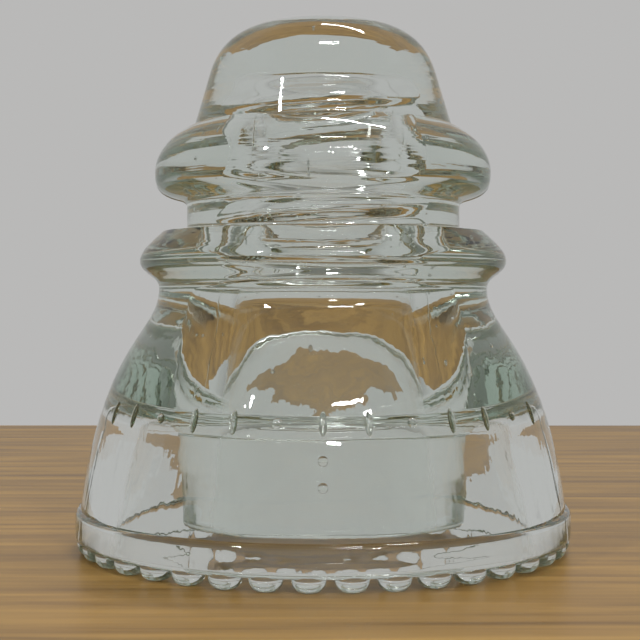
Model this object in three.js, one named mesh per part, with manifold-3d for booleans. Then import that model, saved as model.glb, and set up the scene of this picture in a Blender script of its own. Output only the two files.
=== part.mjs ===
// Clear glass pin insulator for a telephone or power line, with a double skirt, a wire
// groove between two ridges, a threaded pinhole for a 1 inch pin, and round drip points.
//
// Millimetres, +Z up. The origin is on the axis, level with the feet of the drip points.
// The glass is one pressing. It is described as nine sections that meet on flat planes.

import * as THREE from 'three';
import { mergeVertices } from 'three/addons/utils/BufferGeometryUtils.js';
import Module from 'manifold-3d';

const wasm = await Module();
wasm.setup();

// ---- Driving dimensions -------------------------------------------------------------

// Overall
const HEIGHT = 101.6;               // feet of the drip points to the top of the crown, 4 in
const BASE_DIAMETER = 95.2;         // over the base band, 3 3/4 in

// Drip points, a ring of round feet under the base band
const POINT_COUNT = 39;
const POINT_WIDTH = 6;
const POINT_HEIGHT = 2.4;
const POINT_FOOT_WIDTH = 2.4;       // small flat that each point stands on
const POINT_INSET = 3.2;            // outside of the band to the middle of a point
const FIRST_POINT = -93;            // bearing of the first point, degrees from +X

// Base band
const BAND_HEIGHT = 5.8;            // base face to the ridge line
const BAND_STEP = 1;                // the band stands this far proud of the skirt
const BAND_EDGE = 1.2;              // rounding of the band's lower edge
const BASE_FACE_WIDTH = 7.1;        // outside of the band to the outer skirt's inner wall

// Waist and wire ridges
const WAIST_DIAMETER = 63.4;
const WAIST_HEIGHT = 50;
const LOWER_RIDGE_DIAMETER = 70.7;
const LOWER_RIDGE_RISE = 5.3;       // waist to the widest line of the lower ridge
const LOWER_RIDGE_FALL = 5.7;       // widest line of the lower ridge to the groove floor
const LEDGE_ROUND = 4.4;            // rounding between that line and the groove's flat ledge
const NECK_DIAMETER = 52.6;         // bottom of the wire groove
const WIRE_GROOVE_WIDTH = 5.8;
const UPPER_RIDGE_DIAMETER = 64.8;
const UPPER_RIDGE_RISE = 5.4;       // groove to the widest line of the upper ridge
const UPPER_RIDGE_FALL = 9.3;       // widest line of the upper ridge to the crown
const CROWN_DIAMETER = 49.6;        // foot of the crown
const CROWN_TAPER_HEIGHT = 9.7;     // straight part of the crown
const CROWN_TAPER_DIAMETER = 43.8;  // top of the straight part

// Pinhole, with a right-hand thread of 4 turns to the inch
const PINHOLE_DEPTH = 86.1;         // base face to the flat end of the pinhole
const PINHOLE_END_DIAMETER = 16;    // flat that stops the pin
const PINHOLE_END_ROUND = 4;        // height of the rounding round that flat
const THREAD_TOP_DIAMETER = 26;     // thread root at its upper end
const THREAD_DEPTH = 1.5;
const THREAD_PITCH = 6.35;
const THREAD_ROUND = 2.2;           // radius of the rounded thread form
const THREAD_TOP = 84;
const THREAD_LENGTH = 28;
const THREAD_TAPER = 1 / 16;        // change of diameter along the axis, as on the pin

// Smooth wide bore below the thread
const BORE_DIAMETER = 33;           // upper end of the wide bore
const BORE_TOP = 50;

// Inner skirt, and the groove between it and the outer skirt
const RIM_RECESS = 3.8;             // base face up to the rim of the inner skirt
const RIM_ROUND = 1.6;
const INNER_SKIRT_WALL = 5.1;       // thickness of the inner skirt at its rim
const INNER_SKIRT_DRAFT = 1.4;      // growth of its radius up to the round of the groove
const OUTER_SKIRT_DRAFT = 4.5;      // loss of the outer skirt's inner radius up to there
const GROOVE_WIDTH = 7.5;           // between the two skirts, just below the groove's roof
const GROOVE_DEPTH = 24.6;          // base face to the roof of the groove
const GROOVE_ROUND = 5;             // height of the rounded roof

// Fullness of the curves: reach of their handles, in mm or as a share of a rise or width
const SKIRT_LEAN = 4;
const SKIRT_BELLY = 0.755;
const SKIRT_TURN = 0.8;
const LOWER_RIDGE_CHEEK = 0.3;
const LOWER_RIDGE_BROW = 0.56;
const LOWER_RIDGE_LEAN = 1.6;
const UPPER_RIDGE_CHIN = 0.2;
const UPPER_RIDGE_CHEEK = 0.47;
const UPPER_RIDGE_BROW = 0.09;
const UPPER_RIDGE_BACK = 0.63;
const CROWN_SIDE = 0.92;
const CROWN_LEAN = 2.7;
const CROWN_TOP = 0.5;
const BORE_FLARE = 0.3;
const POINT_BELLY = 0.4;

// Facets
const AROUND = 48;                  // facets round the axis
const POINT_FACETS = 7;
const TURN_STEPS = 16;              // steps in one turn of the thread

const GLASS = { color: 0xc9d8cf, roughness: 0.06, metalness: 0 };

// ---- Places worked out from the dimensions ------------------------------------------

const baseFace = POINT_HEIGHT;
const bandEdge = baseFace + BAND_EDGE;
const bandTop = baseFace + BAND_HEIGHT;
const baseRadius = BASE_DIAMETER / 2;
const skirtFoot = baseRadius - BAND_STEP;
const waist = WAIST_DIAMETER / 2;
const lowerRidgeLine = WAIST_HEIGHT + LOWER_RIDGE_RISE;
const grooveFloor = lowerRidgeLine + LOWER_RIDGE_FALL;
const grooveTop = grooveFloor + WIRE_GROOVE_WIDTH;
const upperRidgeLine = grooveTop + UPPER_RIDGE_RISE;
const crownFoot = upperRidgeLine + UPPER_RIDGE_FALL;
const crownTaperTop = crownFoot + CROWN_TAPER_HEIGHT;
const pinholeEnd = baseFace + PINHOLE_DEPTH;
const rim = baseFace + RIM_RECESS;
const grooveRoof = baseFace + GROOVE_DEPTH;
const roofFoot = grooveRoof - GROOVE_ROUND;
const skirtInside = baseRadius - BASE_FACE_WIDTH;
const grooveOutside = skirtInside - OUTER_SKIRT_DRAFT;
const grooveInside = grooveOutside - GROOVE_WIDTH;
const rimRadius = grooveInside - INNER_SKIRT_DRAFT;
const mouth = rimRadius - INNER_SKIRT_WALL;
const pointRing = baseRadius - POINT_INSET;

/** Radius of the thread's crests, where the pinhole is narrowest, at a height. */
const crestRadius = (z) =>
  THREAD_TOP_DIAMETER / 2 - THREAD_DEPTH + (THREAD_TAPER / 2) * (THREAD_TOP - z);

// ---- Solids -------------------------------------------------------------------------

/** A closed mesh with shared corners, as a solid that can be cut and joined. */
function toSolid(geometry) {
  const bare = new THREE.BufferGeometry();
  bare.setAttribute('position', geometry.attributes.position);
  bare.setIndex(geometry.index);
  const merged = mergeVertices(bare, 1e-4);
  const index = merged.index.array;
  const triVerts = [];
  for (let i = 0; i < index.length; i += 3) {
    const [a, b, c] = index.slice(i, i + 3);
    if (a !== b && b !== c && c !== a) triVerts.push(a, b, c);
  }
  return new wasm.Manifold(new wasm.Mesh({
    numProp: 3,
    vertProperties: new Float32Array(merged.attributes.position.array),
    triVerts: new Uint32Array(triVerts),
  }));
}

/** A solid turned about the Z axis from an outline of (radius, height) points. */
function turned(outline, facets = AROUND) {
  const geometry = new THREE.LatheGeometry(outline, facets);
  geometry.rotateX(Math.PI / 2);
  return toSolid(geometry);
}

/** A square slab across the axis between two heights. */
function slab(bottom, top) {
  const geometry = new THREE.BoxGeometry(2 * BASE_DIAMETER, 2 * BASE_DIAMETER, top - bottom);
  geometry.translate(0, 0, (bottom + top) / 2);
  return toSolid(geometry);
}

/** Points of a curve without its first one, which the outline already has. */
const along = (curve, steps) => curve.getPoints(steps).slice(1);

const point = (radius, height) => new THREE.Vector2(radius, height);

const bend = (...ends) => new THREE.CubicBezierCurve(...ends.map(([r, z]) => point(r, z)));

/** Outside of the glass, from the base face up to the top of the crown. */
function outerOutline() {
  const band = bend(
    [baseRadius - BAND_EDGE, baseFace], [baseRadius - BAND_EDGE / 2, baseFace],
    [baseRadius, bandEdge - BAND_EDGE / 2], [baseRadius, bandEdge]);
  const skirtRise = WAIST_HEIGHT - bandTop;
  const skirt = bend(
    [skirtFoot, bandTop], [skirtFoot - SKIRT_LEAN, bandTop + SKIRT_BELLY * skirtRise],
    [waist, bandTop + SKIRT_TURN * skirtRise], [waist, WAIST_HEIGHT]);
  const lowerRidge = LOWER_RIDGE_DIAMETER / 2;
  const lowerRise = bend(
    [waist, WAIST_HEIGHT], [waist, lowerRidgeLine - LOWER_RIDGE_RISE / 2],
    [lowerRidge, lowerRidgeLine - LOWER_RIDGE_RISE / 2], [lowerRidge, lowerRidgeLine]);
  const lowerFall = bend(
    [lowerRidge, lowerRidgeLine],
    [lowerRidge, lowerRidgeLine + LOWER_RIDGE_CHEEK * LOWER_RIDGE_FALL],
    [lowerRidge - LOWER_RIDGE_LEAN, lowerRidgeLine + LOWER_RIDGE_BROW * LOWER_RIDGE_FALL],
    [lowerRidge - LEDGE_ROUND, grooveFloor]);
  const neck = NECK_DIAMETER / 2;
  const upperRidge = UPPER_RIDGE_DIAMETER / 2;
  const upperRise = bend(
    [neck, grooveTop], [upperRidge, grooveTop + UPPER_RIDGE_CHIN * UPPER_RIDGE_RISE],
    [upperRidge, upperRidgeLine - UPPER_RIDGE_CHEEK * UPPER_RIDGE_RISE],
    [upperRidge, upperRidgeLine]);
  const crown = CROWN_DIAMETER / 2;
  const upperFall = bend(
    [upperRidge, upperRidgeLine],
    [upperRidge, upperRidgeLine + UPPER_RIDGE_BROW * UPPER_RIDGE_FALL],
    [upperRidge, upperRidgeLine + UPPER_RIDGE_BACK * UPPER_RIDGE_FALL], [crown, crownFoot]);
  const crownTop = CROWN_TAPER_DIAMETER / 2;
  const crownRise = HEIGHT - crownTaperTop;
  const dome = bend(
    [crownTop, crownTaperTop], [crownTop - CROWN_LEAN, crownTaperTop + CROWN_SIDE * crownRise],
    [CROWN_TOP * crownTop, HEIGHT], [0, HEIGHT]);
  return [
    ...along(band, 3), point(baseRadius, bandTop - BAND_STEP / 2), point(skirtFoot, bandTop),
    ...along(skirt, 8), ...along(lowerRise, 5), ...along(lowerFall, 4),
    point(neck, grooveFloor), point(neck, grooveTop),
    ...along(upperRise, 5), ...along(upperFall, 5), ...along(dome, 8),
  ];
}

/** Inside of the glass: pinhole, inner skirt and groove, down to the base face. */
function innerOutline() {
  const endFoot = pinholeEnd - PINHOLE_END_ROUND;
  const threadFoot = THREAD_TOP - THREAD_LENGTH;
  const end = bend(
    [PINHOLE_END_DIAMETER / 2, pinholeEnd], [crestRadius(endFoot), pinholeEnd],
    [crestRadius(endFoot), endFoot + PINHOLE_END_ROUND / 2], [crestRadius(endFoot), endFoot]);
  const bore = BORE_DIAMETER / 2;
  const flareDrop = BORE_FLARE * (threadFoot - BORE_TOP);
  const flare = bend(
    [crestRadius(threadFoot), threadFoot], [crestRadius(threadFoot), threadFoot - flareDrop],
    [bore, BORE_TOP + flareDrop], [bore, BORE_TOP]);
  const lip = bend(
    [mouth, rim + RIM_ROUND], [mouth, rim + RIM_ROUND / 2],
    [mouth + RIM_ROUND / 2, rim], [mouth + RIM_ROUND, rim]);
  const rimEdge = bend(
    [rimRadius - RIM_ROUND, rim], [rimRadius - RIM_ROUND / 2, rim],
    [rimRadius, rim + RIM_ROUND / 2], [rimRadius, rim + RIM_ROUND]);
  const roofMiddle = (grooveInside + grooveOutside) / 2;
  const roofIn = bend(
    [grooveInside, roofFoot], [grooveInside, grooveRoof - GROOVE_ROUND / 2],
    [(grooveInside + roofMiddle) / 2, grooveRoof], [roofMiddle, grooveRoof]);
  const roofOut = bend(
    [roofMiddle, grooveRoof], [(grooveOutside + roofMiddle) / 2, grooveRoof],
    [grooveOutside, grooveRoof - GROOVE_ROUND / 2], [grooveOutside, roofFoot]);
  return [
    point(0, pinholeEnd), point(PINHOLE_END_DIAMETER / 2, pinholeEnd), ...along(end, 4),
    point(crestRadius(threadFoot), threadFoot), ...along(flare, 4),
    point(mouth, rim + RIM_ROUND), ...along(lip, 3),
    point(rimRadius - RIM_ROUND, rim), ...along(rimEdge, 3),
    point(grooveInside, roofFoot), ...along(roofIn, 4), ...along(roofOut, 4),
    point(skirtInside, baseFace), point(baseRadius - BAND_EDGE, baseFace),
  ];
}

/** Middle line of the pinhole's thread, a tapered right-hand helix. */
class ThreadLine extends THREE.Curve {
  getPoint(t, target = new THREE.Vector3()) {
    const z = THREAD_TOP - THREAD_LENGTH * (1 - t);
    const angle = (2 * Math.PI * THREAD_LENGTH * t) / THREAD_PITCH;
    const radius = crestRadius(z) + THREAD_DEPTH - THREAD_ROUND;
    return target.set(radius * Math.cos(angle), radius * Math.sin(angle), z);
  }
}

/** Rounded thread that the plunger cuts into the wall of the pinhole. */
function thread() {
  const section = new THREE.Shape().absarc(0, 0, THREAD_ROUND, 0, 2 * Math.PI);
  const steps = Math.round((THREAD_LENGTH / THREAD_PITCH) * TURN_STEPS);
  return toSolid(new THREE.ExtrudeGeometry(section, {
    extrudePath: new ThreadLine(), steps, curveSegments: 3, bevelEnabled: false,
  }));
}

/** One drip point: a round dome that narrows to a small flat foot. */
function dripPoint() {
  const foot = POINT_FOOT_WIDTH / 2;
  const width = POINT_WIDTH / 2;
  const root = baseFace + BAND_EDGE / 2;
  const side = bend(
    [foot, 0], [(foot + width) / 2, 0], [width, POINT_BELLY * POINT_HEIGHT], [width, baseFace]);
  return turned([point(0, 0), point(foot, 0), ...along(side, 2), point(width, root), point(0, root)],
    POINT_FACETS);
}

/** Copies of one solid, evenly spaced round the axis at a radius. */
function ring(solid, radius, count) {
  const copies = [];
  for (let i = 0; i < count; i += 1) {
    copies.push(solid.translate([radius, 0, 0]).rotate([0, 0, FIRST_POINT + (360 * i) / count]));
  }
  return copies;
}

const pressing = turned([...innerOutline(), ...outerOutline()])
  .subtract(thread())
  .add(wasm.Manifold.union(ring(dripPoint(), pointRing, POINT_COUNT)));

/** Upright cylinder that passes up the middle of the groove between the skirts. */
function skirtParting() {
  const radius = (grooveInside + grooveOutside) / 2;
  const geometry = new THREE.CylinderGeometry(radius, radius, 4 * roofFoot, AROUND);
  geometry.rotateX(Math.PI / 2);
  return toSolid(geometry);
}

const skirts = pressing.intersect(slab(bandTop, roofFoot));
const underSkirts = pressing.intersect(slab(0, roofFoot));

const sections = {
  crown_dome: pressing.intersect(slab(crownFoot, HEIGHT)),
  upper_wire_ridge: pressing.intersect(slab(grooveTop, crownFoot)),
  wire_groove_neck: pressing.intersect(slab(grooveFloor, grooveTop)),
  lower_wire_ridge: pressing.intersect(slab(WAIST_HEIGHT, grooveFloor)),
  skirt_shoulder: pressing.intersect(slab(roofFoot, WAIST_HEIGHT)),
  outer_skirt: skirts.subtract(skirtParting()),
  inner_skirt: underSkirts.intersect(skirtParting()),
  base_band: pressing.intersect(slab(bandEdge, bandTop)).subtract(skirtParting()),
  drip_point_ring: pressing.intersect(slab(0, bandEdge)),
};

// ---- Scene graph --------------------------------------------------------------------

/** A named glass mesh of one section. */
function glassMesh(name, solid) {
  const { numProp, vertProperties, triVerts } = solid.getMesh();
  const position = new THREE.InterleavedBuffer(vertProperties, numProp);
  const geometry = new THREE.BufferGeometry();
  geometry.setAttribute('position', new THREE.InterleavedBufferAttribute(position, 3, 0));
  geometry.setIndex([...triVerts]);
  geometry.computeVertexNormals();
  const material = new THREE.MeshStandardMaterial({ ...GLASS, name: `${name}_glass` });
  const mesh = new THREE.Mesh(geometry, material);
  mesh.name = name;
  return mesh;
}

const group = new THREE.Group();
group.name = 'pin_insulator';
for (const [name, solid] of Object.entries(sections)) group.add(glassMesh(name, solid));

export default group;
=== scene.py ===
"""Clear pressed-glass pin insulator, standing on its drip points on an oak board.

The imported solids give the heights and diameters. This script makes the one continuous
glass body that they describe, with its threaded pinhole, double skirt, drip points,
raised mould marks, mould seams and small seeds in the glass, and sets it in plain light.
"""

from __future__ import annotations

import logging
import math
import random
from dataclasses import dataclass, field
from enum import Enum
from functools import cache

import bmesh
import bpy
from mathutils import Matrix, Vector, noise


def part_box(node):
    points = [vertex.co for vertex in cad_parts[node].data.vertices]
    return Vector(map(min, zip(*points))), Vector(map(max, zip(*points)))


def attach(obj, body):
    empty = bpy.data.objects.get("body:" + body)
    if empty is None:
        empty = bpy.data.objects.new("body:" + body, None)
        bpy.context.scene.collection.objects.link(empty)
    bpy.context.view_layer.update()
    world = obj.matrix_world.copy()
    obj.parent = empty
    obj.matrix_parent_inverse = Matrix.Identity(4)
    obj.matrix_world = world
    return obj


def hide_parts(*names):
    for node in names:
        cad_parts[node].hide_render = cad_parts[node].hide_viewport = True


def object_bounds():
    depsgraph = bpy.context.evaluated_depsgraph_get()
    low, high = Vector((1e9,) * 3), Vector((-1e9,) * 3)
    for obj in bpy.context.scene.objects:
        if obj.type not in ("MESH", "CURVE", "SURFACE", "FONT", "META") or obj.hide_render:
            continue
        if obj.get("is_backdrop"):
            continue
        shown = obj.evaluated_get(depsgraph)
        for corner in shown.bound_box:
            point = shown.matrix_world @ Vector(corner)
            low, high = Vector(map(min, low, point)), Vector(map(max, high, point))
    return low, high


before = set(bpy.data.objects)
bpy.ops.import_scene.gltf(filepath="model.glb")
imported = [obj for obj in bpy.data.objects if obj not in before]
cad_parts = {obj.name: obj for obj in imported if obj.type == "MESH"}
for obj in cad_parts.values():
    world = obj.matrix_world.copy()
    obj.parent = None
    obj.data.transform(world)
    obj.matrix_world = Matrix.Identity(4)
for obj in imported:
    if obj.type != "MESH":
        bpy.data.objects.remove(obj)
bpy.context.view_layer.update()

log = logging.getLogger("pin_insulator")

MM = 0.001


# ---- Finishes -----------------------------------------------------------------------


class Finish(Enum):
    """Named finishes of the insulator and of what it stands on."""

    GLASS = "pressed_glass"
    SEED = "glass_seed"
    BOARD = "pale_oak"


class NodeBoard:
    """Small helper that adds and links the nodes of one material."""

    def __init__(self, name: str) -> None:
        """Starts an empty node material.

        Args:
            name: Name of the material.
        """
        self.material = bpy.data.materials.new(name)
        self.material.use_nodes = True
        self.tree = self.material.node_tree
        self.tree.nodes.clear()

    def add(self, kind: str, **values: object) -> bpy.types.Node:
        """Adds a node and sets its properties and unlinked sockets.

        Args:
            kind: Blender's name of the node type.
            values: Property names, or socket names with underscores for spaces.

        Returns:
            The new node.
        """
        node = self.tree.nodes.new(kind)
        for key, value in values.items():
            socket = node.inputs.get(key.replace("_", " "))
            if socket is not None:
                socket.default_value = value
            else:
                setattr(node, key, value)
        return node

    def link(self, source: bpy.types.NodeSocket, target: bpy.types.NodeSocket) -> None:
        """Joins an output socket to an input socket."""
        self.tree.links.new(source, target)

    def object_noise(
        self, scale: float, detail: float = 2.0, stretch: float = 1.0
    ) -> bpy.types.Node:
        """Adds a noise pattern on object coordinates.

        Args:
            scale: Waves in one metre, roughly.
            detail: Octaves of finer noise.
            stretch: Squash of the pattern along Z, below 1 for tall streaks.

        Returns:
            The noise node.
        """
        place = self.add("ShaderNodeTexCoord")
        mapping = self.add("ShaderNodeMapping", Scale=(1.0, 1.0, stretch))
        pattern = self.add("ShaderNodeTexNoise", Scale=scale, Detail=detail)
        self.link(place.outputs["Object"], mapping.inputs["Vector"])
        self.link(mapping.outputs["Vector"], pattern.inputs["Vector"])
        return pattern

    def ranged(self, source: bpy.types.NodeSocket, low: float, high: float) -> bpy.types.NodeSocket:
        """Maps a pattern's 0 to 1 on to another range.

        Args:
            source: Pattern to map.
            low: Value at 0.
            high: Value at 1.

        Returns:
            The mapped output.
        """
        node = self.add("ShaderNodeMapRange", To_Min=low, To_Max=high)
        self.link(source, node.inputs["Value"])
        return node.outputs["Result"]

    def bump(
        self,
        height: bpy.types.NodeSocket,
        distance: float,
        under: bpy.types.NodeSocket | None = None,
    ) -> bpy.types.NodeSocket:
        """Adds a bump of a given depth, over an earlier one if there is one.

        Args:
            height: Pattern that says how high the surface stands.
            distance: Depth of the bump in metres.
            under: Normal of an earlier bump.

        Returns:
            The bumped normal.
        """
        node = self.add("ShaderNodeBump", Strength=1.0, Distance=distance)
        self.link(height, node.inputs["Height"])
        if under is not None:
            self.link(under, node.inputs["Normal"])
        return node.outputs["Normal"]


@dataclass(frozen=True)
class PressedGlass:
    """Clear glass with a faint green-grey body tint and a hand-pressed skin."""

    index: float = 1.52
    tint: tuple[float, float, float, float] = (0.70, 0.80, 0.73, 1.0)
    tint_density: float = 12.0
    ripple_depth: float = 0.09 * MM
    streak_depth: float = 0.05 * MM
    skin_depth: float = 0.008 * MM
    skirt_top: float = 50.0 * MM
    ridge_foot: float = 56.0 * MM
    smear_scale: float = 60.0
    smear_roughness: float = 0.02
    ripple_scale: float = 85.0
    ripple_squash: float = 1.6
    skin_scale: float = 420.0
    upright_scale: float = 300.0
    upright_squash: float = 0.1
    level_scale: float = 45.0
    level_squash: float = 14.0

    def material(self) -> bpy.types.Material:
        """Builds the glass.

        Returns:
            The material, with rippled skin and tint in its depth.
        """
        board = NodeBoard(Finish.GLASS.value)
        glass = board.add(
            "ShaderNodeBsdfPrincipled",
            Base_Color=(0.99, 1.0, 0.995, 1.0),
            Transmission_Weight=1.0,
            IOR=self.index,
        )
        smears = board.object_noise(self.smear_scale, 3.0)
        rough = board.ranged(smears.outputs["Fac"], 0.0, self.smear_roughness)
        board.link(rough, glass.inputs["Roughness"])
        ripples = board.object_noise(self.ripple_scale, 1.0, self.ripple_squash)
        skin = board.object_noise(self.skin_scale)
        rippled = board.bump(ripples.outputs["Fac"], self.ripple_depth)
        streaked = board.bump(self._streaks(board), self.streak_depth, rippled)
        board.link(
            board.bump(skin.outputs["Fac"], self.skin_depth, streaked), glass.inputs["Normal"]
        )
        depth = board.add("ShaderNodeVolumeAbsorption", Color=self.tint, Density=self.tint_density)
        output = board.add("ShaderNodeOutputMaterial")
        board.link(glass.outputs["BSDF"], output.inputs["Surface"])
        board.link(depth.outputs["Volume"], output.inputs["Volume"])
        return board.material

    def _streaks(self, board: NodeBoard) -> bpy.types.NodeSocket:
        """Adds the mould's drag marks, upright on the skirt and level on the ridges.

        Args:
            board: Material that they are added to.

        Returns:
            The height of the marks.
        """
        upright = board.object_noise(self.upright_scale, stretch=self.upright_squash)
        level = board.object_noise(self.level_scale, stretch=self.level_squash)
        place = board.add("ShaderNodeTexCoord")
        split = board.add("ShaderNodeSeparateXYZ")
        share = board.add("ShaderNodeMapRange", From_Min=self.skirt_top, From_Max=self.ridge_foot)
        mix = board.add("ShaderNodeMix", data_type="FLOAT")
        board.link(place.outputs["Object"], split.inputs["Vector"])
        board.link(split.outputs["Z"], share.inputs["Value"])
        board.link(share.outputs["Result"], mix.inputs[0])
        board.link(upright.outputs["Fac"], mix.inputs[2])
        board.link(level.outputs["Fac"], mix.inputs[3])
        return mix.outputs[0]


@dataclass(frozen=True)
class SeedGlass:
    """Bright skin of the small air seeds that are shut in the glass."""

    index: float = 1.3
    frost_scale: float = 900.0
    roughness: tuple[float, float] = (0.02, 0.12)

    def material(self) -> bpy.types.Material:
        """Builds the skin of a seed.

        Returns:
            The material.
        """
        board = NodeBoard(Finish.SEED.value)
        skin = board.add(
            "ShaderNodeBsdfPrincipled",
            Base_Color=(0.95, 0.98, 0.97, 1.0),
            Transmission_Weight=0.8,
            IOR=self.index,
        )
        frost = board.object_noise(self.frost_scale)
        board.link(board.ranged(frost.outputs["Fac"], *self.roughness), skin.inputs["Roughness"])
        output = board.add("ShaderNodeOutputMaterial")
        board.link(skin.outputs["BSDF"], output.inputs["Surface"])
        return board.material


@dataclass(frozen=True)
class PaleOak:
    """Pale oak with a faint long grain and a low sheen."""

    light: tuple[float, float, float, float] = (0.44, 0.26, 0.078, 1.0)
    dark: tuple[float, float, float, float] = (0.20, 0.108, 0.030, 1.0)
    sheen: float = 0.12
    roughness: tuple[float, float] = (0.3, 0.45)
    grain_scale: tuple[float, float, float] = (4.0, 60.0, 4.0)
    grain_ends: tuple[float, float] = (0.3, 0.7)

    def material(self) -> bpy.types.Material:
        """Builds the wood.

        Returns:
            The material.
        """
        board = NodeBoard(Finish.BOARD.value)
        wood = board.add("ShaderNodeBsdfPrincipled", Specular_IOR_Level=self.sheen)
        place = board.add("ShaderNodeTexCoord")
        mapping = board.add("ShaderNodeMapping", Scale=self.grain_scale)
        grain = board.add("ShaderNodeTexNoise", Scale=3.0, Detail=4.0, Distortion=0.6)
        ramp = board.add("ShaderNodeValToRGB")
        ramp.color_ramp.elements[0].color = self.dark
        ramp.color_ramp.elements[1].color = self.light
        ramp.color_ramp.elements[0].position = self.grain_ends[0]
        ramp.color_ramp.elements[1].position = self.grain_ends[1]
        board.link(place.outputs["Object"], mapping.inputs["Vector"])
        board.link(mapping.outputs["Vector"], grain.inputs["Vector"])
        board.link(grain.outputs["Fac"], ramp.inputs["Fac"])
        board.link(ramp.outputs["Color"], wood.inputs["Base Color"])
        board.link(board.ranged(grain.outputs["Fac"], *self.roughness), wood.inputs["Roughness"])
        output = board.add("ShaderNodeOutputMaterial")
        board.link(wood.outputs["BSDF"], output.inputs["Surface"])
        return board.material


# ---- Mesh helpers -------------------------------------------------------------------


class Outline:
    """Outline of a turned solid, as points of radius and height in metres."""

    def __init__(self, radius: float, height: float) -> None:
        """Starts the outline at a point."""
        self.points: list[Vector] = [Vector((radius, height))]

    def line(self, radius: float, height: float, spacing: float = 1.2 * MM) -> Outline:
        """Runs straight to a point.

        Args:
            radius: Radius of the line's end.
            height: Height of the line's end.
            spacing: Longest gap left between points.

        Returns:
            The outline itself.
        """
        start, end = self.points[-1], Vector((radius, height))
        steps = max(1, math.ceil((end - start).length / spacing))
        self.points += [start.lerp(end, i / steps) for i in range(1, steps + 1)]
        return self

    def bend(
        self,
        leave: tuple[float, float],
        arrive: tuple[float, float],
        end: tuple[float, float],
        steps: int,
    ) -> Outline:
        """Runs along a cubic curve to a point.

        Args:
            leave: Handle of the curve's start.
            arrive: Handle of the curve's end.
            end: The curve's end.
            steps: Number of points that it adds.

        Returns:
            The outline itself.
        """
        corners = [self.points[-1], Vector(leave), Vector(arrive), Vector(end)]
        for i in range(1, steps + 1):
            t = i / steps
            s = 1.0 - t
            weights = (s**3, 3 * s * s * t, 3 * s * t * t, t**3)
            self.points.append(sum((c * w for c, w in zip(corners, weights)), Vector((0.0, 0.0))))
        return self

    def radius_at(self, height: float) -> float:
        """Gives the widest radius of the outline at a height."""
        found = [
            a.x + (b.x - a.x) * (height - a.y) / (b.y - a.y)
            for a, b in zip(self.points, self.points[1:])
            if a.y != b.y and min(a.y, b.y) <= height <= max(a.y, b.y)
        ]
        return max(found)

    def slope_at(self, height: float) -> float:
        """Gives the lean of the outside at a height, in radians from upright."""
        step = 0.5 * MM
        return math.atan2(
            self.radius_at(height - step) - self.radius_at(height + step), 2 * step
        )

    def turned(self, steps: int) -> bmesh.types.BMesh:
        """Turns the outline about Z into a closed mesh.

        Args:
            steps: Number of facets round the axis.

        Returns:
            The mesh, which starts and ends on the XZ plane.
        """
        mesh = bmesh.new()
        verts = [mesh.verts.new((p.x, 0.0, p.y)) for p in self.points]
        edges = [mesh.edges.new(pair) for pair in zip(verts, verts[1:])]
        bmesh.ops.spin(
            mesh,
            geom=[*verts, *edges],
            cent=(0.0, 0.0, 0.0),
            axis=(0.0, 0.0, 1.0),
            angle=math.tau,
            steps=steps,
            use_merge=True,
        )
        bmesh.ops.remove_doubles(mesh, verts=mesh.verts, dist=1e-6)
        bmesh.ops.recalc_face_normals(mesh, faces=mesh.faces)
        return mesh


def as_object(name: str, mesh: bmesh.types.BMesh, material: bpy.types.Material) -> bpy.types.Object:
    """Makes a shown object of a mesh, at the origin.

    Args:
        name: Name of the object.
        mesh: Its shape, in metres in the frame of the solids. It is freed.
        material: Its finish.

    Returns:
        The new object.
    """
    data = bpy.data.meshes.new(name)
    mesh.to_mesh(data)
    mesh.free()
    data.materials.append(material)
    thing = bpy.data.objects.new(name, data)
    bpy.context.scene.collection.objects.link(thing)
    return thing


def smooth(thing: bpy.types.Object, angle: float = math.radians(38)) -> None:
    """Shades a piece smooth and keeps the edges that turn more than an angle sharp."""
    thing.data.shade_smooth()
    thing.data.set_sharp_from_angle(angle=angle)


def join_on(body: bpy.types.Object, extra: bpy.types.Object) -> None:
    """Joins the closed shells of one object on to another, as one skin.

    Args:
        body: Object that keeps its name and gets the joined mesh.
        extra: Object whose shells are joined on. It is removed.
    """
    union = body.modifiers.new("union", "BOOLEAN")
    union.operation = "UNION"
    union.solver = "MANIFOLD"
    union.object = extra
    depsgraph = bpy.context.evaluated_depsgraph_get()
    joined = bpy.data.meshes.new_from_object(body.evaluated_get(depsgraph))
    body.modifiers.clear()
    old, body.data = body.data, joined
    bpy.data.meshes.remove(old)
    bpy.data.objects.remove(extra)
    body.data.name = body.name


# ---- The insulator ------------------------------------------------------------------


@cache
def reach(node: str) -> float:
    """Gives the radius of a round section of the frame, in metres."""
    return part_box(node)[1].x


@cache
def foot(node: str) -> float:
    """Gives the height of the lower plane of a section of the frame, in metres."""
    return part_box(node)[0].z


@cache
def head(node: str) -> float:
    """Gives the height of the upper plane of a section of the frame, in metres."""
    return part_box(node)[1].z


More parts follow.
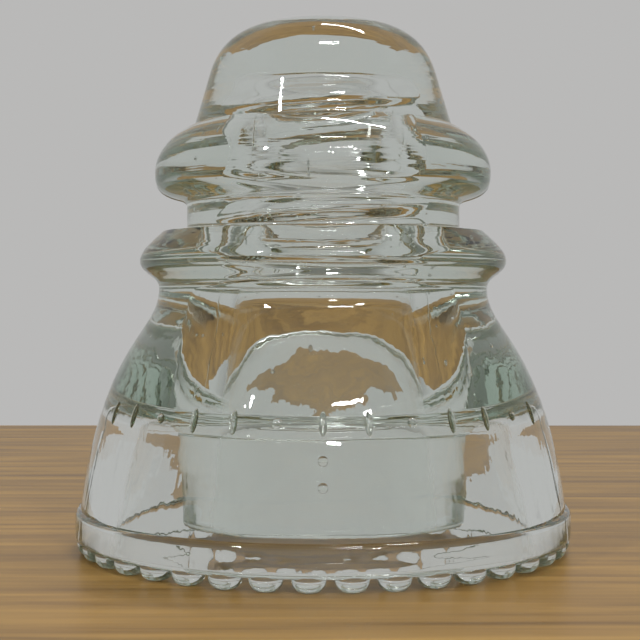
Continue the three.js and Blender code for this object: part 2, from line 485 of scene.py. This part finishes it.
@dataclass
class Pinhole:
    """Threaded hole for the pin, with its rounded right-hand thread."""

    end_radius: float = 8.0 * MM
    end_round: float = 4.0 * MM
    depth_from_crown: float = 13.1 * MM
    thread_top: float = 84.0 * MM
    thread_length: float = 28.0 * MM
    thread_root: float = 13.0 * MM
    thread_depth: float = 1.5 * MM
    pitch: float = 6.35 * MM
    taper: float = 1 / 32
    fade: float = 2.5 * MM
    bore: float = 16.5 * MM
    bore_top: float = 50.0 * MM
    flare: float = 0.3

    def crest(self, height: float) -> float:
        """Gives the radius of the thread's crests at a height."""
        return self.thread_root - self.thread_depth + self.taper * (self.thread_top - height)

    def outline(self, end: float) -> Outline:
        """Draws the wall of the pinhole down to the top of its wide bore.

        Args:
            end: Height of the flat end of the pinhole.

        Returns:
            The outline, from the axis to the top of the wide bore.
        """
        edge = end - self.end_round
        crest = self.crest(edge)
        wall = Outline(0.0, end).line(self.end_radius, end, 2.0 * MM)
        wall.bend((crest, end), (crest, end - self.end_round / 2), (crest, edge), 8)
        thread_foot = self.thread_top - self.thread_length
        narrow = self.crest(thread_foot)
        drop = self.flare * (thread_foot - self.bore_top)
        wall.line(narrow, thread_foot, 0.45 * MM)
        return wall.bend(
            (narrow, thread_foot - drop),
            (self.bore, self.bore_top + drop),
            (self.bore, self.bore_top),
            14,
        )

    def cut_thread(self, mesh: bmesh.types.BMesh) -> None:
        """Presses the thread into the wall of the pinhole.

        Args:
            mesh: The turned glass, whose inner wall is moved.
        """
        thread_foot = self.thread_top - self.thread_length
        for vert in mesh.verts:
            height = vert.co.z
            if not thread_foot - self.fade < height < self.thread_top + self.fade:
                continue
            radius = vert.co.xy.length
            if radius > self.crest(height) + 0.2 * MM:
                continue
            turn = math.atan2(vert.co.y, vert.co.x) / math.tau
            phase = (height / self.pitch - turn) % 1.0
            swell = 0.5 - 0.5 * math.cos(math.tau * phase)
            ends = min(self.thread_top + self.fade - height, height - thread_foot + self.fade)
            strength = min(1.0, max(0.0, ends / self.fade))
            grown = radius + self.thread_depth * swell**0.8 * strength
            vert.co.xy *= grown / radius


@dataclass
class Skirts:
    """Inner skirt round the pinhole, and the groove between it and the outer skirt."""

    rim_wall: float = 5.1 * MM
    rim_round: float = 1.6 * MM
    inner_draft: float = 1.4 * MM
    outer_draft: float = 4.5 * MM
    base_face: float = 7.1 * MM
    roof: float = 27.0 * MM
    roof_round: float = 5.0 * MM

    def outline(self, wall: Outline, base: float) -> Outline:
        """Carries the inner outline on round the inner skirt and groove to the base face.

        Args:
            wall: Outline so far, which ends at the top of the wide bore.
            base: Height of the base face.

        Returns:
            The outline, ending at the inner edge of the base face.
        """
        rim = foot("inner_skirt")
        inside = reach("inner_skirt")
        rim_edge = inside - self.inner_draft
        mouth = rim_edge - self.rim_wall
        inner_base = reach("base_band") - self.base_face
        outside = inner_base - self.outer_draft
        roof_foot = self.roof - self.roof_round
        middle = (inside + outside) / 2
        half = self.rim_round / 2
        wall.line(mouth, rim + self.rim_round, 1.5 * MM)
        wall.bend((mouth, rim + half), (mouth + half, rim), (mouth + self.rim_round, rim), 6)
        wall.line(rim_edge - self.rim_round, rim, 1.5 * MM)
        wall.bend(
            (rim_edge - half, rim), (rim_edge, rim + half), (rim_edge, rim + self.rim_round), 6
        )
        wall.line(inside, roof_foot)
        wall.bend(
            (inside, self.roof - self.roof_round / 2),
            ((inside + middle) / 2, self.roof),
            (middle, self.roof),
            7,
        )
        wall.bend(
            ((outside + middle) / 2, self.roof),
            (outside, self.roof - self.roof_round / 2),
            (outside, roof_foot),
            7,
        )
        return wall.line(inner_base, base)


@dataclass
class OuterForm:
    """Outside of the glass, from the base band over the ridges to the crown."""

    band_edge: float = 1.2 * MM
    band_step: float = 1.0 * MM
    waist: float = 31.7 * MM
    lower_rise: float = 5.3 * MM
    ledge_round: float = 4.4 * MM
    upper_rise: float = 5.4 * MM
    neck_corner: float = 0.9 * MM
    taper_height: float = 9.7 * MM
    taper_radius: float = 21.9 * MM

    def outline(self, wall: Outline, base: float) -> Outline:
        """Carries the outline on from the base face to the top of the crown.

        Args:
            wall: Outline so far, which ends at the inner edge of the base face.
            base: Height of the base face.

        Returns:
            The whole outline, ending on the axis.
        """
        self._band_and_skirt(wall, base)
        self._ridges(wall)
        self._crown(wall)
        return wall

    def _band_and_skirt(self, wall: Outline, base: float) -> None:
        """Draws the base band and the bell of the skirt up to the waist."""
        band, top, waist_height = reach("base_band"), head("base_band"), foot("lower_wire_ridge")
        edge, step = self.band_edge, self.band_step
        skirt = band - step
        rise = waist_height - top
        wall.line(band - edge, base)
        wall.bend((band - edge / 2, base), (band, base + edge / 2), (band, base + edge), 6)
        wall.line(band, top - 1.1 * step)
        wall.bend((band, top - 0.4 * step), (skirt + 0.6 * step, top), (skirt, top + 0.1 * step), 5)
        wall.bend(
            (skirt - 4.0 * MM, top + 0.755 * rise),
            (self.waist, top + 0.8 * rise),
            (self.waist, waist_height),
            42,
        )

    def _ridges(self, wall: Outline) -> None:
        """Draws the two wire ridges with the wire groove between them."""
        lower, upper, neck = (
            reach("lower_wire_ridge"),
            reach("upper_wire_ridge"),
            reach("wire_groove_neck"),
        )
        waist_height, ledge = foot("lower_wire_ridge"), head("lower_wire_ridge")
        groove_top, crown_foot = head("wire_groove_neck"), foot("crown_dome")
        low_line = waist_height + self.lower_rise
        fall = ledge - low_line
        wall.bend(
            (self.waist, low_line - self.lower_rise / 2),
            (lower, low_line - self.lower_rise / 2),
            (lower, low_line),
            12,
        )
        wall.bend(
            (lower, low_line + 0.3 * fall),
            (lower - 1.6 * MM, low_line + 0.56 * fall),
            (lower - self.ledge_round, ledge),
            9,
        )
        corner = self.neck_corner
        wall.line(neck + corner, ledge)
        wall.bend((neck + corner / 3, ledge), (neck, ledge + corner / 3), (neck, ledge + corner), 4)
        wall.line(neck, groove_top - corner)
        high_line = groove_top + self.upper_rise
        wall.bend(
            (neck, groove_top - corner / 3),
            (neck + corner / 2, groove_top),
            (neck + 1.2 * corner, groove_top + 0.2 * MM),
            4,
        )
        wall.bend(
            (upper - 0.4 * MM, groove_top + 0.24 * self.upper_rise),
            (upper, high_line - 0.47 * self.upper_rise),
            (upper, high_line),
            11,
        )
        crown = reach("crown_dome")
        fall = crown_foot - high_line
        wall.bend(
            (upper, high_line + 0.09 * fall),
            (upper, high_line + 0.63 * fall),
            (crown, crown_foot),
            14,
        )

    def _crown(self, wall: Outline) -> None:
        """Draws the straight foot of the crown and its domed top."""
        taper_top = foot("crown_dome") + self.taper_height
        top = head("crown_dome")
        wall.line(self.taper_radius, taper_top)
        wall.bend(
            (self.taper_radius - 2.7 * MM, taper_top + 0.92 * (top - taper_top)),
            (0.5 * self.taper_radius, top),
            (0.0, top),
            26,
        )


@dataclass
class DripPoints:
    """Ring of round points that hang from the base face."""

    count: int = 39
    first: float = math.radians(-93)
    inset: float = 3.2 * MM
    width: float = 6.0 * MM
    foot_width: float = 1.6 * MM
    overlap: float = 0.4 * MM

    def build(self, base: float) -> bmesh.types.BMesh:
        """Builds the points, each a closed shell that reaches into the glass.

        Args:
            base: Height of the base face.

        Returns:
            The mesh of all the points.
        """
        ring = bmesh.new()
        half = self.width / 2
        for i in range(self.count):
            side = Outline(0.0, 0.0).line(self.foot_width / 2, 0.0)
            side.bend((0.72 * half, 0.0), (half, 0.35 * base), (half, base), 7)
            side.line(half, base + self.overlap).line(0.0, base + self.overlap, half)
            point = side.turned(20)
            middle = reach("base_band") - self.inset
            turn = Matrix.Rotation(self.first + math.tau * i / self.count, 4, "Z")
            point.transform(turn @ Matrix.Translation((middle, 0.0, 0.0)))
            shell = bpy.data.meshes.new("point")
            point.to_mesh(shell)
            point.free()
            ring.from_mesh(shell)
            bpy.data.meshes.remove(shell)
        return ring


@dataclass
class MouldMarks:
    """Row of plain raised bars and dots round the front of the skirt."""

    row_height: float = 27.5 * MM
    spread: float = math.radians(62)
    count: int = 13
    bar: tuple[float, float] = (0.7 * MM, 2.2 * MM)
    dot: tuple[float, float] = (0.9 * MM, 0.9 * MM)
    proud: float = 0.5 * MM
    low_dots: tuple[float, float] = (21.5 * MM, 17.2 * MM)

    def build(self, outside: Outline) -> bmesh.types.BMesh:
        """Builds the marks on the skirt's surface.

        Args:
            outside: Outline of the glass, which the marks sit on.

        Returns:
            The mesh of all the marks, each a closed shell.
        """
        marks = bmesh.new()
        for i in range(self.count):
            bearing = self.spread * (2 * i / (self.count - 1) - 1)
            size = self.dot if i % 3 == 2 else self.bar
            self._mark(marks, outside, bearing, self.row_height, size)
        for height in self.low_dots:
            self._mark(marks, outside, 0.0, height, self.dot)
        return marks

    def _mark(
        self,
        marks: bmesh.types.BMesh,
        outside: Outline,
        bearing: float,
        height: float,
        size: tuple[float, float],
    ) -> None:
        """Adds one rounded mark.

        Args:
            marks: Mesh that it is added to.
            outside: Outline that it sits on.
            bearing: Angle from the front, in radians.
            height: Height of its middle.
            size: Half its width and half its height.
        """
        lean = Matrix.Rotation(-outside.slope_at(height), 4, "X")
        place = Matrix.Translation((0.0, -outside.radius_at(height), height))
        shape = Matrix.Diagonal((size[0], self.proud, size[1], 1.0))
        bmesh.ops.create_uvsphere(
            marks,
            u_segments=14,
            v_segments=9,
            radius=1.0,
            matrix=Matrix.Rotation(bearing, 4, "Z") @ place @ lean @ shape,
        )


@dataclass
class PressedSkin:
    """Slight waves of the outside, left by the mould, and the two mould seams."""

    wave: float = 16.0 * MM
    wave_depth: float = 0.09 * MM
    crease: float = 6.0 * MM
    crease_depth: float = 0.022 * MM
    seam_width: float = 0.35 * MM
    seam_height: float = 0.12 * MM
    roof_margin: float = 10.0 * MM

    def press(self, mesh: bmesh.types.BMesh) -> None:
        """Raises the seams and waves the surface of the turned glass.

        Args:
            mesh: The turned glass.
        """
        self._raise_seams(mesh)
        mesh.normal_update()
        moves = [(vert, self._wave_at(vert)) for vert in mesh.verts]
        for vert, move in moves:
            vert.co += vert.normal * move

    def _raise_seams(self, mesh: bmesh.types.BMesh) -> None:
        """Cuts the glass beside its side lines and lifts those lines a little."""
        base = head("drip_point_ring")
        for side in (-1, 1):
            bmesh.ops.bisect_plane(
                mesh,
                geom=[*mesh.verts, *mesh.edges, *mesh.faces],
                plane_co=(0.0, side * self.seam_width, 0.0),
                plane_no=(0.0, 1.0, 0.0),
            )
        mesh.normal_update()
        for vert in mesh.verts:
            on_line = abs(vert.co.y) < 1e-6 and abs(vert.co.x) > self.seam_width
            facing = vert.normal.dot(Vector((vert.co.x, vert.co.y, 0.0)))
            if on_line and facing > 0.0 and vert.co.z > base and not self._in_groove(vert):
                vert.co += vert.normal * self.seam_height

    def _in_groove(self, vert: bmesh.types.BMVert) -> bool:
        """Says whether a point is on the inner skirt, inside the groove."""
        inside = vert.co.xy.length < reach("inner_skirt") + MM
        return inside and vert.co.z < head("outer_skirt") + self.roof_margin

    def _wave_at(self, vert: bmesh.types.BMVert) -> float:
        """Gives how far a point moves along its normal."""
        if vert.co.z < head("drip_point_ring"):
            return 0.0
        long_wave = noise.noise(vert.co / self.wave)
        crease = noise.noise(vert.co / self.crease + Vector((7.0, 3.0, 1.0)))
        return long_wave * self.wave_depth + crease * self.crease_depth


@dataclass
class Seeds:
    """Small seeds of air shut in the thick parts of the glass."""

    count: int = 46
    faces_each: int = 48
    size: tuple[float, float] = (0.12 * MM, 0.38 * MM)
    stretch: tuple[float, float] = (1.0, 2.2)
    heights: tuple[float, float] = (32.0, 96.0)
    reach_share: float = 0.75
    crown_share: float = 0.7
    bore_clear: float = 20.0 * MM
    thread_clear: float = 16.0 * MM
    pinhole_top: float = 91.0 * MM
    seed: int = 11

    def build(self) -> bmesh.types.BMesh:
        """Scatters the seeds through the shoulder, ridges and crown.

        Returns:
            The mesh of all the seeds, each a closed shell.
        """
        draw = random.Random(self.seed)
        seeds = bmesh.new()
        while len(seeds.faces) < self.count * self.faces_each:
            height = draw.uniform(*self.heights) * MM
            widest = self.reach_share * self._wall(height)
            narrowest = self._hollow(height)
            if widest < narrowest:
                continue
            radius = draw.uniform(narrowest, widest)
            bearing = draw.uniform(0.0, math.tau)
            size = draw.uniform(*self.size)
            shape = Matrix.Diagonal((size, size, size * draw.uniform(*self.stretch), 1.0))
            place = Matrix.Translation(
                (radius * math.cos(bearing), radius * math.sin(bearing), height)
            )
            bmesh.ops.create_uvsphere(
                seeds, u_segments=8, v_segments=6, radius=1.0, matrix=place @ shape
            )
        return seeds

    def _hollow(self, height: float) -> float:
        """Gives a radius that clears the pinhole at a height."""
        if height < foot("lower_wire_ridge") + 2.0 * MM:
            return self.bore_clear
        return 0.0 if height > self.pinhole_top else self.thread_clear

    def _wall(self, height: float) -> float:
        """Gives a radius that is inside the glass at a height."""
        if height < foot("lower_wire_ridge"):
            return reach("lower_wire_ridge")
        if height < foot("crown_dome"):
            return reach("wire_groove_neck")
        return self.crown_share * reach("crown_dome")


@dataclass
class Insulator:
    """The whole pressing and the seeds in it."""

    pinhole: Pinhole = field(default_factory=Pinhole)
    skirts: Skirts = field(default_factory=Skirts)
    form: OuterForm = field(default_factory=OuterForm)
    points: DripPoints = field(default_factory=DripPoints)
    marks: MouldMarks = field(default_factory=MouldMarks)
    skin: PressedSkin = field(default_factory=PressedSkin)
    seeds: Seeds = field(default_factory=Seeds)
    facets: int = 240

    def build(self) -> list[bpy.types.Object]:
        """Builds the glass and its seeds, and rides them on the frame's body.

        Returns:
            The finished pieces.
        """
        base = foot("base_band") - self.form.band_edge
        end = head("crown_dome") - self.pinhole.depth_from_crown
        wall = self.pinhole.outline(end)
        self.skirts.outline(wall, base)
        outline = self.form.outline(wall, base)
        body = outline.turned(self.facets)
        self.pinhole.cut_thread(body)
        self.skin.press(body)
        glass = as_object("pressed_glass_body", body, PressedGlass().material())
        extras = self.points.build(base)
        join_on(glass, as_object("drip_points", extras, glass.data.materials[0]))
        join_on(glass, as_object("marks", self.marks.build(outline), glass.data.materials[0]))
        smooth(glass)
        self._place(glass, *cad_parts)
        seeds = as_object("air_seeds", self.seeds.build(), SeedGlass().material())
        smooth(seeds)
        self._place(seeds)
        return [glass, seeds]

    def _place(self, piece: bpy.types.Object, *nodes: str) -> None:
        """Rides a piece on the one body, in place of any nodes that it stands for."""
        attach(piece, "root")
        if nodes:
            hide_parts(*nodes)


# ---- Setting ------------------------------------------------------------------------


@dataclass
class Ground:
    """Plain board that the insulator stands on, with its back edge close behind."""

    width: float = 0.28
    front: float = 0.55
    back: float = 0.26
    thickness: float = 0.014
    edge: float = 0.003

    def build(self) -> bpy.types.Object:
        """Builds the board.

        Returns:
            The stage object.
        """
        board = bmesh.new()
        depth = self.front + self.back
        place = Matrix.Translation((0.0, (self.back - self.front) / 2, -self.thickness / 2))
        shape = Matrix.Diagonal((self.width, depth, self.thickness, 1.0))
        bmesh.ops.create_cube(board, size=1.0, matrix=place @ shape)
        bmesh.ops.bevel(
            board,
            geom=board.edges[:],
            offset=self.edge,
            segments=4,
            profile=0.5,
            affect="EDGES",
            material=-1,
        )
        top = as_object("oak_board", board, PaleOak().material())
        smooth(top)
        top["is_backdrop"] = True
        return top


@dataclass(frozen=True)
class SoftLight:
    """Rectangular light that looks at the middle of the insulator."""

    name: str
    place: tuple[float, float, float]
    size: tuple[float, float]
    power: float
    color: tuple[float, float, float] = (1.0, 1.0, 1.0)

    def build(self, target: Vector) -> bpy.types.Object:
        """Hangs the light.

        Args:
            target: Point that it looks at.

        Returns:
            The light's object.
        """
        data = bpy.data.lights.new(self.name, "AREA")
        data.shape = "RECTANGLE"
        data.size, data.size_y = self.size
        data.energy = self.power
        data.color = self.color
        lamp = bpy.data.objects.new(self.name, data)
        lamp.location = self.place
        lamp.rotation_euler = (target - Vector(self.place)).to_track_quat("-Z", "Y").to_euler()
        bpy.context.scene.collection.objects.link(lamp)
        return lamp


@dataclass
class Studio:
    """Plain surroundings, small bright lights and the camera."""

    wall: tuple[float, float, float, float] = (0.487, 0.484, 0.479, 1.0)
    room: tuple[float, float, float, float] = (0.20, 0.20, 0.185, 1.0)
    room_end: float = 0.42
    wall_start: float = 0.68
    lights: tuple[SoftLight, ...] = (
        SoftLight("lamp_left", (-0.75, -0.8, 0.85), (0.05, 0.14), 3.5),
        SoftLight("lamp_right", (0.45, -0.95, 0.75), (0.1, 0.03), 2.5),
        SoftLight("lamp_front", (0.12, -1.2, 0.62), (0.12, 0.02), 1.5),
        SoftLight("lamp_high", (0.1, -0.5, 1.15), (0.3, 0.03), 2.0),
        SoftLight("tube_back", (0.2, 0.3, 1.08), (0.5, 0.035), 3.5),
        SoftLight("tube_front", (0.22, -0.9, 0.8), (0.3, 0.03), 1.6),
    )
    bounces: int = 40
    camera_distance: float = 0.281
    camera_height: float = 0.049
    camera_drop: float = math.radians(1.03)
    camera_turn: float = math.radians(0.119)
    lens: float = 81.3

    def build(self) -> None:
        """Builds the surroundings, the lights and the camera."""
        self._surroundings()
        low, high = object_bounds()
        for light in self.lights:
            light.build((low + high) / 2)
        self._camera()

    def _surroundings(self) -> None:
        """Makes the world pale behind the insulator and darker behind the camera."""
        scene = bpy.context.scene
        scene.view_settings.view_transform = "Standard"
        scene.cycles.max_bounces = self.bounces
        scene.cycles.transmission_bounces = self.bounces
        scene.cycles.glossy_bounces = self.bounces
        world = bpy.data.worlds.new("pale_room")
        scene.world = world
        world.use_nodes = True
        tree = world.node_tree
        tree.nodes.clear()
        place = tree.nodes.new("ShaderNodeTexCoord")
        split = tree.nodes.new("ShaderNodeSeparateXYZ")
        depth = tree.nodes.new("ShaderNodeMapRange")
        depth.inputs["From Min"].default_value = -1.0
        ramp = tree.nodes.new("ShaderNodeValToRGB")
        back = tree.nodes.new("ShaderNodeBackground")
        output = tree.nodes.new("ShaderNodeOutputWorld")
        ramp.color_ramp.elements[0].position = self.room_end
        ramp.color_ramp.elements[0].color = self.room
        ramp.color_ramp.elements[1].position = self.wall_start
        ramp.color_ramp.elements[1].color = self.wall
        tree.links.new(place.outputs["Generated"], split.inputs["Vector"])
        tree.links.new(split.outputs["Y"], depth.inputs["Value"])
        tree.links.new(depth.outputs["Result"], ramp.inputs["Fac"])
        tree.links.new(ramp.outputs["Color"], back.inputs["Color"])
        tree.links.new(back.outputs["Background"], output.inputs["Surface"])

    def _camera(self) -> None:
        """Sets the camera in front of the insulator, a little above its drip points."""
        data = bpy.data.cameras.new("camera")
        data.lens = self.lens
        data.clip_start = 0.01
        camera = bpy.data.objects.new("camera", data)
        camera.location = (0.0, -self.camera_distance, self.camera_height)
        camera.rotation_euler = (math.pi / 2 - self.camera_drop, 0.0, self.camera_turn)
        bpy.context.scene.collection.objects.link(camera)
        bpy.context.scene.camera = camera


def main() -> None:
    """Builds the setting and the insulator, and reports each piece."""
    logging.basicConfig(level=logging.INFO, format="%(name)s: %(message)s")
    log.info("stage %s", Ground().build().name)
    for piece in Insulator().build():
        log.info("piece %s with %d faces", piece.name, len(piece.data.polygons))
    Studio().build()


if __name__ == "__main__":
    main()
